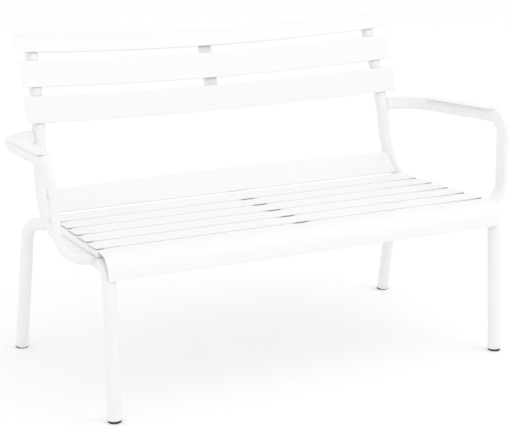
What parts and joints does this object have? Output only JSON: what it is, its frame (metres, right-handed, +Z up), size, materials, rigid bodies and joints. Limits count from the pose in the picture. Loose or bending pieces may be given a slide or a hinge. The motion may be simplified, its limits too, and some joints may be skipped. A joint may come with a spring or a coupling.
{
  "type": "garden bench",
  "caption": "White slatted garden bench with a bent round-tube frame, looped flat-oval arms, a waterfall front slat, a curved lumbar slat and bowed back slats.",
  "frame": {"origin": "centre of the bench's box, on the floor", "axes": "+X along the length towards the right arm as seen from the front, the sitter faces -Y, +Z up"},
  "size_m": [1.3198, 0.7052, 0.8442],
  "materials": {
    "frame_coat": "satin white powder coat with fine orange peel, on metal tube taken to be aluminium",
    "slat_coat": "satin white powder coat, on metal slats taken to be aluminium",
    "glide_plastic": "dark moulded plastic glide",
    "cap_plastic": "white moulded plastic cap"
  },
  "bodies": {
    "root": {"side_tube_left": "frame_coat", "rear_leg_left": "frame_coat", "arm_tube_left": "frame_coat", "seat_bearer_left": "frame_coat", "arm_pad_left": "slat_coat", "upright_cap_left": "cap_plastic", "foot_glide_front_left": "glide_plastic", "foot_glide_rear_left": "glide_plastic", "side_tube_right": "frame_coat", "rear_leg_right": "frame_coat", "arm_tube_right": "frame_coat", "seat_bearer_right": "frame_coat", "arm_pad_right": "slat_coat", "upright_cap_right": "cap_plastic", "foot_glide_front_right": "glide_plastic", "foot_glide_rear_right": "glide_plastic", "back_slat_lower": "slat_coat", "back_slat_middle": "slat_coat", "back_slat_top": "slat_coat", "lumbar_slat": "slat_coat", "front_slat": "slat_coat", "seat_slat_1": "slat_coat", "seat_slat_2": "slat_coat", "seat_slat_3": "slat_coat", "seat_slat_4": "slat_coat", "seat_slat_5": "slat_coat", "back_strap": "frame_coat", "seat_strap": "frame_coat"}
  },
  "joints": []
}
